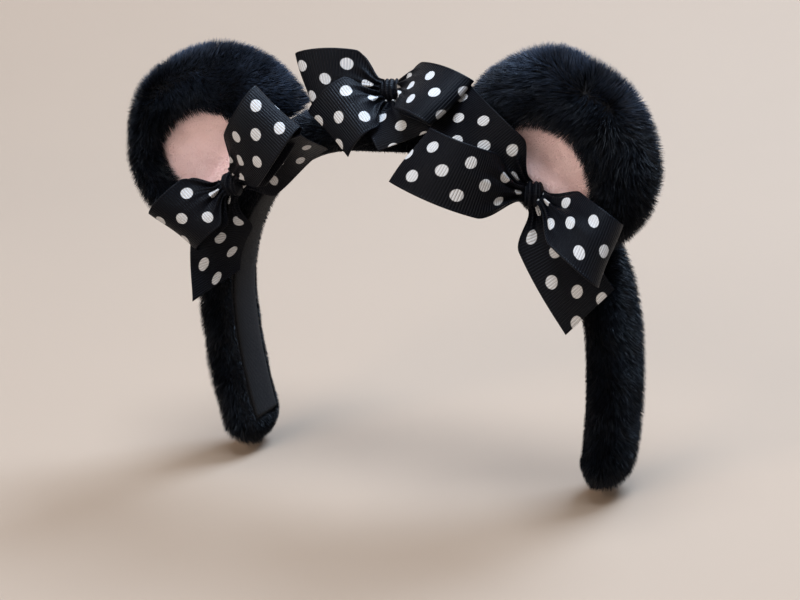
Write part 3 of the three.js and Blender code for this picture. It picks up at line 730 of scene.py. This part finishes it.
def knot_mesh(name, bow, seed):
    """The knot: a narrow tuck of ribbon wound a few times round the pinch, each turn a soft ridge."""
    axes, knot = bow_axes(bow)
    rows, columns = KNOT_GRID
    x = np.linspace(-1, 1, rows)
    turn = np.linspace(0, 2 * math.pi, columns, endpoint=False)
    draw = np.random.default_rng(seed)
    phase = draw.uniform(0, 6.3, 4)
    barrel = np.clip(1 - np.abs(x) ** 5, 0.0, 1) ** 0.5
    slant = x[:, None] * WRAPS + 0.28 * np.sin(turn[None, :] + phase[0])
    ridge = np.abs(np.sin(math.pi / 2 * slant)) ** 0.7
    twist = 2 * turn[None, :] + phase[2] + 2.2 * x[:, None]
    uneven = 0.5 * np.sin(1.7 * slant + phase[1]) + 0.5 * np.sin(twist)
    fold = np.sin(7 * turn[None, :] + phase[3] + 5.0 * x[:, None])
    radius = barrel[:, None] * (0.80 + 0.20 * ridge + 0.08 * uneven + 0.02 * fold)
    shape = np.stack([
        x[:, None] * KNOT_HALF_LENGTH + 0.35 * np.sin(turn + phase[2])[None, :],
        radius * KNOT_HALF_HEIGHT * np.sin(turn)[None, :],
        radius * KNOT_HALF_DEPTH * np.cos(turn)[None, :],
    ], -1)
    across_ribbon = x[:, None] * KNOT_HALF_LENGTH + PLAIN_RIBBON
    uv = np.stack(np.broadcast_arrays(across_ribbon, turn[None, :] * KNOT_HALF_HEIGHT), -1)
    points = shape.reshape(-1, 3) @ axes + knot
    ends = np.stack([points[:columns].mean(axis=0), points[-columns:].mean(axis=0)])
    uv = np.concatenate([uv.reshape(-1, 2), [[PLAIN_RIBBON, 0], [PLAIN_RIBBON, 0]]])
    return make_mesh(name, np.concatenate([points, ends]), *tube_faces(rows, columns), {"ribbon": uv})


FIRST_RIBBON_SEED = 40


def build_bows():
    """Every bow's knot and ribbons. Gives each ribbon's ray tree and box, which the pile stops short of."""
    blockers = []
    seed = FIRST_RIBBON_SEED
    for bow_name, bow in BOWS.items():
        knot = knot_mesh(f"{bow_name}_gathered_knot", bow, seed)
        finish_piece(knot, GROSGRAIN, bow_name, [f"{bow_name}_knot"])
        for limb_name, limb in bow["limbs"].items():
            seed += 1
            piece, length, grid = ribbon_limb(f"{bow_name}_{limb_name}_ribbon", bow, limb, seed)
            finish_piece(piece, GROSGRAIN, bow_name, [f"{bow_name}_{limb_name}"])
            points = grid.reshape(-1, 3)
            faces = grid_quads(*grid.shape[:2])
            tree = BVHTree.FromPolygons([tuple(p) for p in points], [tuple(q) for q in faces])
            blockers.append((tree, points.min(0) - 1, points.max(0) + 1))
    return blockers


ribbon_blockers = build_bows()

# ---- the fur sleeve and its lining, in two halves that meet under the centre bow ----

SLEEVE_ROWS, SLEEVE_COLUMNS = 150, 72
TAPE_ROWS, TAPE_COLUMNS = 130, 17


def squared(value):
    """Shapes a sine or cosine so that a circle becomes the sleeve's squarer oval."""
    return np.sign(value) * np.abs(value) ** SLEEVE_SQUARENESS


def sleeve_grid(side):
    """The sleeve's backing as a tube round the band, its middle line, and each point's s, y and depth."""
    s = np.linspace(0, BACKING_END, SLEEVE_ROWS)
    end = np.clip((s - BACKING_END) / END_ROUNDING + 1, 0, 1)
    scale = np.sqrt(np.clip(1 - end ** 2, 0.0004, 1))
    fine = np.linspace(0, 2 * math.pi, 721)
    y = BACKING_HALF_WIDTH * squared(np.cos(fine))
    depth = (BACKING_OUTER - BACKING_INNER) / 2 * squared(np.sin(fine))
    run = np.concatenate([[0], np.cumsum(np.hypot(np.diff(y), np.diff(depth)))])
    even = np.interp(np.linspace(0, run[-1], SLEEVE_COLUMNS + 1), run, fine)
    y = np.interp(even, fine, y)
    depth = np.interp(even, fine, depth)
    middle = (BACKING_INNER + BACKING_OUTER) / 2
    grid_s = np.broadcast_to((side * s)[:, None], (SLEEVE_ROWS, SLEEVE_COLUMNS + 1))
    grid_y = scale[:, None] * y[None, :]
    grid_depth = middle + scale[:, None] * depth[None, :]
    points = band_point(grid_s, grid_y, grid_depth)
    core = band_point(grid_s, np.zeros_like(grid_y), np.full_like(grid_y, middle))
    return points, core, grid_s, grid_y, grid_depth


def sleeve_inner_face(y):
    """How far out the backing's face towards the head lies, at a distance from the middle line."""
    reach = np.abs(y) / BACKING_HALF_WIDTH
    bulge = (1 - reach ** (2 / SLEEVE_SQUARENESS)) ** (SLEEVE_SQUARENESS / 2)
    return (BACKING_INNER + BACKING_OUTER) / 2 - (BACKING_OUTER - BACKING_INNER) / 2 * bulge


def flex_point(s):
    """A point of the hoop's middle at s, in metres."""
    return [float(c) for c in band_point(np.array([s]), 0, np.array([FLEX_DEPTH]))[0] * MM]


def sleeve_pile_lengths(normals, grid_s, grid_y, grid_depth):
    """The pile is shorter on the face towards the head, and pressed flat behind each ear's lip."""
    facing_out = (normals * band_frame(grid_s)[2]).sum(-1)
    outer_share = 0.80 + 0.20 * smooth((facing_out + 1.0) / 1.2)
    lengths = PILE_LENGTH * (outer_share - 0.42 * smooth(-facing_out * 1.6))
    beside_ear = np.abs(np.abs(grid_s) - S_EAR) < EAR_FOOT_SPAN - 1
    behind_lip = beside_ear & (grid_y < -3) & (grid_depth > SLEEVE_CENTRE - 1)
    return np.where(behind_lip, lengths * 0.6, lengths)


def hidden_from_pile(grid_s, grid_y, grid_depth):
    """Where the lining or an ear's foot covers the backing, so that no pile grows."""
    under_lining = (np.abs(grid_y) < LINING_WIDTH / 2 + 0.6) & (grid_depth < SLEEVE_CENTRE - 4)
    under_lining &= np.abs(grid_s) < LINING_END
    under_ear = (np.abs(np.abs(grid_s) - S_EAR) < EAR_FOOT_SPAN) & (np.abs(grid_y) < EAR_FOOT_WIDTH)
    return under_lining | (under_ear & (grid_depth > SLEEVE_CENTRE))


def build_sleeve(side_name, side):
    """One half of the sleeve: its backing, and its pile in a crown piece and an arm piece."""
    grid, core, *places = sleeve_grid(side)
    grid_s = places[0]
    normals = grid_normals(grid, grid - core)
    along = band_frame(grid_s)[1]
    arm = f"{side_name}_arm"
    start, end = flex_point(side * (S_FLEX - FLEX_BLEND)), flex_point(side * (S_FLEX + FLEX_BLEND))

    backing = closed_tube(f"{side_name}_fur_sleeve", grid)
    finish_piece(backing, BACKING, None, ["crown_fur_sleeve", f"{arm}_fur_sleeve"])
    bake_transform(backing)

    length_field = sleeve_pile_lengths(normals, *places)
    in_crown = np.abs(grid_s) < S_FLEX - FLEX_BLEND
    for part, wanted in (("crown", in_crown), ("arm", ~in_crown)):
        roots, outward, comb, lengths = surface_samples(
            grid, normals, along, PILE_DENSITY, 70 + side, hidden_from_pile(*places), length_field, wanted)
        lengths = lengths * rng.uniform(*PILE_SPREAD, len(roots))
        fur = pile(f"{side_name}_{part}_pile", roots, outward, comb, lengths, PILE_WIDTH, ribbon_blockers,
                   seed=100 + side + 30 * (part == "arm"))
        if part == "crown":
            finish_piece(fur, FUR, "crown")
        else:
            finish_piece(fur, FUR, None)
            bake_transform(fur)


def build_lining(side_name, side):
    """One half of the tape sewn to the sleeve's face towards the head."""
    arm = f"{side_name}_arm"
    s = np.linspace(0, LINING_END, TAPE_ROWS)
    y = np.linspace(-1, 1, TAPE_COLUMNS) * LINING_WIDTH / 2
    tape_s, tape_y = np.meshgrid(side * s, y, indexing="ij")
    ripple = TAPE_RIPPLE * np.sin(tape_s / 7.0) * (tape_y / (LINING_WIDTH / 2)) ** 2
    sewn_to = sleeve_inner_face(tape_y)
    inner_face = band_point(tape_s, tape_y, sewn_to - TAPE_THICKNESS + ripple)
    outer_face = band_point(tape_s, tape_y, sewn_to + TAPE_SINK)
    uv = np.stack([tape_y, np.abs(tape_s)], -1)
    tape = sheet_mesh(f"{side_name}_lining_tape", inner_face, outer_face, "tape", uv)
    finish_piece(tape, TAPE, None, ["crown_lining", f"{arm}_lining"])
    start, end = flex_point(side * (S_FLEX - FLEX_BLEND)), flex_point(side * (S_FLEX + FLEX_BLEND))
    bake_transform(tape)


for side_name, side in SIDES:
    build_sleeve(side_name, side)
    build_lining(side_name, side)

# ---- the ears ----


def ear_axes(place):
    """The ear's across, up and front directions, its centre, a point of its hinge, and the way out there."""
    at = np.array([place["side"] * S_EAR])
    _, along, out = (v[0] for v in band_frame(at))
    hinge = band_point(at, EAR_BASE_Y, np.array([BASE_TOP]))[0]
    up = out * math.cos(EAR_LEAN)
    up[1] = -math.sin(EAR_LEAN)
    square = -out * math.sin(EAR_LEAN)
    square[1] = -math.cos(EAR_LEAN)
    front = square * math.cos(place["turn"]) - along * math.sin(place["turn"])
    across = along * math.cos(place["turn"]) + square * math.sin(place["turn"])
    centre = hinge + up * place["rise"] + along * place["slide"]
    return across, up, front, centre, hinge, out


def smooth_profile(knots, count):
    """A Catmull-Rom curve through the knots, evenly spaced."""
    p = np.array(knots, float)
    p = np.vstack([2 * p[0] - p[1], p, 2 * p[-1] - p[-2]])
    t = np.linspace(0, 1, 24, endpoint=False)[:, None]
    parts = []
    for i in range(1, len(p) - 2):
        slope = p[i + 1] - p[i - 1]
        square = 2 * p[i - 1] - 5 * p[i] + 4 * p[i + 1] - p[i + 2]
        cube = 3 * p[i] - 3 * p[i + 1] + p[i + 2] - p[i - 1]
        parts.append(0.5 * (2 * p[i] + slope * t + square * t ** 2 + cube * t ** 3))
    curve = np.vstack([*parts, p[-2:-1]])
    run = np.concatenate([[0], np.cumsum(np.linalg.norm(np.diff(curve, axis=0), axis=1))])
    even = np.linspace(0, run[-1], count)
    return np.stack([np.interp(even, run, curve[:, k]) for k in (0, 1)], -1)


def ear_ring_grid(axes, radius, w_shift, u_shift, forward):
    """Rings round the ear: radius, shifts and forward are (rows, 1) arrays in the ear's own axes."""
    across, up, front, centre, _, _ = axes
    angle = np.linspace(0, 2 * math.pi, EAR_COLUMNS + 1)
    w = w_shift + radius * np.cos(angle)
    u = u_shift + radius * np.sin(angle)
    f = np.broadcast_to(forward, w.shape)
    return centre + across * w[..., None] + up * u[..., None] + front * f[..., None]


def depth_in_base(points, axes, gap):
    """How far points lie inside the ridge that the ear rocks on, which curves away with the band."""
    hinge, out = axes[4:]
    offset = points - hinge
    along = np.array([out[2], 0.0, -out[0]])
    relief = np.where(offset[..., 1] < 0, EAR_FRONT_RELIEF, EAR_BACK_RELIEF)
    curve = (offset @ along) ** 2 / (2 * (SHOULDER_MEAN_RADIUS + BASE_TOP))
    floor = gap + np.abs(offset[..., 1]) * relief - curve
    return floor - offset @ out


def clear_of_base(points, axes, gap, tuck):
    """Lifts points out of the ridge, and says how far each was in it. tuck draws the deepest to the seam."""
    _, _, front, centre, _, out = axes
    short = np.maximum(depth_in_base(points, axes, gap), 0)
    forward = (points - centre) @ front
    points = points - front * (forward * tuck * smooth((short - 0.8) / 5.0))[..., None]
    return points + out * np.maximum(depth_in_base(points, axes, gap), 0)[..., None], short


def draped_lip(points, axes, gap):
    """Bends what lies below the base forward and down over the band, and says how far below it was."""
    out = axes[5]
    depth = depth_in_base(points, axes, gap)
    short = (depth + np.sqrt(depth ** 2 + LIP_SOFTNESS ** 2)) / 2
    angle = np.minimum(short / LIP_LENGTH * math.pi / 2, LIP_MOST_BEND)[..., None]
    forward = np.array([0.0, -1.0, 0.0])
    lifted = points + out * short[..., None]
    return lifted + forward * LIP_FORWARD * np.sin(angle) - out * LIP_DROP * (1 - np.cos(angle)), short


def build_fur_shell(ear, part, side, axes, grid, core):
    """The rim or the back of an ear: a lumpy backing drawn in at its foot, and the pile on it."""
    _, up, front, centre, _, _ = axes
    is_back = part == "fur_back"
    normals = grid_normals(grid, grid - core)
    grid = grid - normals * BACKING_DEPTH
    lumps = LUMP_HEIGHT * waves(grid.reshape(-1, 3), LUMP_LENGTH, 300 + side).reshape(grid.shape[:2])
    grid = grid + normals * lumps[..., None]
    grid, lifted = clear_of_base(grid, axes, EAR_BASE_GAP, FOOT_TUCK)
    shell = grid if is_back else np.concatenate([grid, grid[-1:] - front * RIM_HEM])
    backing = closed_tube(f"{ear}_{part}_cloth", shell)
    finish_piece(backing, BACKING, ear, [f"{ear}_{part}"])
    comb_field = -up * 0.35 + unit(grid - centre) * 0.25 - front * (0.5 if is_back else 0.15)
    roots, outward, comb, lengths = surface_samples(
        grid, normals, comb_field, PILE_DENSITY, 80 + side + 5 * is_back, lifted > BARE_FOOT,
        np.full(grid.shape[:2], PILE_LENGTH))
    lengths = lengths * rng.uniform(*PILE_SPREAD, len(roots))
    fur = pile(f"{ear}_{part}_pile", roots, outward, comb, lengths, PILE_WIDTH, ribbon_blockers,
               seed=200 + side + 7 * is_back)
    finish_piece(fur, FUR, ear)


def build_fleece_panel(ear, place, axes):
    """The pink fleece sunk in the rim's opening, with its short nap."""
    _, up, front, _, _, _ = axes
    side = place["side"]
    opening, opening_across, opening_up = place["opening"]
    rings = np.linspace(0.02, 1, 40)[:, None]
    dish = ear_ring_grid(axes, rings * (opening + PANEL_LAP), opening_across, opening_up,
                         PANEL_FACE - PANEL_DISH * rings ** 2)
    soft = 0.45 * waves(dish.reshape(-1, 3), 13.0, 320 + side).reshape(dish.shape[:2])
    dish = dish + front * soft[..., None]
    under, _ = draped_lip(dish[::-1] - front * PANEL_THICKNESS, axes, EAR_BASE_GAP)
    dish, below = draped_lip(dish, axes, EAR_BASE_GAP + 0.9)
    panel = closed_tube(f"{ear}_fleece_panel", np.concatenate([dish, under]))
    finish_piece(panel, FLEECE, ear, [f"{ear}_inner_panel"])
    facing = grid_normals(dish, np.broadcast_to(front, dish.shape))
    comb_field = np.broadcast_to(-up, dish.shape)
    roots, outward, comb = surface_samples(
        dish, facing, comb_field, NAP_DENSITY, 90 + side, below > LIP_LENGTH)
    lengths = rng.uniform(*NAP_LENGTHS, len(roots))
    nap = pile(f"{ear}_fleece_nap", roots, outward, comb, lengths, NAP_WIDTH, (), seed=260 + side)
    finish_piece(nap, FLEECE, ear)


def build_ear(side_name, place):
    """An ear: the fur rim round its opening, the fur back, and the fleece panel."""
    ear = f"{side_name}_ear"
    axes = ear_axes(place)
    opening, opening_across, opening_up = place["opening"]
    blend, forward = np.split(smooth_profile(RIM_PROFILE, RIM_ROWS), 2, axis=1)
    rim_radius = EAR_RADIUS + (opening - EAR_RADIUS) * blend
    rim = ear_ring_grid(axes, rim_radius, opening_across * blend, opening_up * blend, forward)
    middle_radius = np.array([[(EAR_RADIUS + opening) / 2]])
    rim_core = ear_ring_grid(axes, middle_radius, opening_across / 2, opening_up / 2, 3.0)
    back_radius = EAR_RADIUS * np.cos(BACK_TURNS) ** 0.6
    back_face = ear_ring_grid(axes, back_radius, 0.0, 0.0, -EAR_BACK_DEPTH * np.sin(BACK_TURNS))
    build_fur_shell(ear, "fur_rim", place["side"], axes, rim, rim_core)
    build_fur_shell(ear, "fur_back", place["side"], axes, back_face, axes[3])
    build_fleece_panel(ear, place, axes)


for side_name, place in EAR_PLACES.items():
    build_ear(side_name, place)

# ---- the studio ----


FLOOR_REACH, CURVE_START, CURVE_RADIUS, BACKDROP_HEIGHT, SWEEP_HALF_WIDTH = 4.0, 0.5, 0.7, 2.6, 5.0


def studio_sweep():
    """A floor that curves up into a backdrop, well behind the object. Its lengths are in metres."""
    floor_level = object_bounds()[0][2] - 0.0005
    curve = [(CURVE_START + CURVE_RADIUS * math.sin(a), CURVE_RADIUS * (1 - math.cos(a)))
             for a in np.linspace(0.1, math.pi / 2, 16)]
    top = (CURVE_START + CURVE_RADIUS, BACKDROP_HEIGHT)
    profile = [(-FLOOR_REACH, 0.0), (CURVE_START, 0.0), *curve, top]
    aim = Vector((-back.x, -back.y, 0)).normalized()
    across = Vector((-aim.y, aim.x, 0))
    points = []
    for run, height in profile:
        for k in (-SWEEP_HALF_WIDTH, SWEEP_HALF_WIDTH):
            point = aim * run + across * k
            points.append((point.x / MM, point.y / MM, (floor_level + height) / MM))
    sweep = make_mesh("studio_sweep", points, grid_quads(len(profile), 2))
    material, n = new_material("studio_paper", (0.295, 0.215, 0.155), 0.9)
    grain = n.noise(n.place(), 6.0, 2.0)
    n.to_colour(n.mix(grain, (0.290, 0.211, 0.152), (0.300, 0.219, 0.158)))
    sweep.data.materials.append(material)
    sweep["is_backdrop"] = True


def area_light(name, azimuth, elevation, distance, size, power, colour):
    """A square light aimed at the object. Azimuth 0 is in front of it, and 90 at its +X side."""
    data = bpy.data.lights.new(name, "AREA")
    data.energy = power
    data.size = size
    data.color = colour
    light = bpy.data.objects.new(name, data)
    a, e = math.radians(azimuth), math.radians(elevation)
    direction = Vector((math.sin(a) * math.cos(e), -math.cos(a) * math.cos(e), math.sin(e)))
    light.location = direction * distance + Vector((0, 0, -0.03))
    light.rotation_euler = direction.to_track_quat("Z", "Y").to_euler()
    bpy.context.scene.collection.objects.link(light)


studio_sweep()
area_light("warm_key", -20, 30, 2.4, 1.4, 34, (1.0, 0.90, 0.80))
area_light("front_fill", 20, 8, 2.4, 1.4, 16, (1.0, 0.94, 0.88))
area_light("cool_rim", 150, 55, 2.2, 1.1, 110, (0.55, 0.74, 1.0))
area_light("cool_top", 30, 78, 2.2, 1.0, 62, (0.74, 0.86, 1.0))
world = bpy.data.worlds.new("studio_world")
world.use_nodes = True
world.node_tree.nodes["Background"].inputs[0].default_value = (0.90, 0.88, 0.86, 1)
world.node_tree.nodes["Background"].inputs[1].default_value = 0.12
bpy.context.scene.world = world
bpy.context.scene.view_settings.view_transform = "Standard"
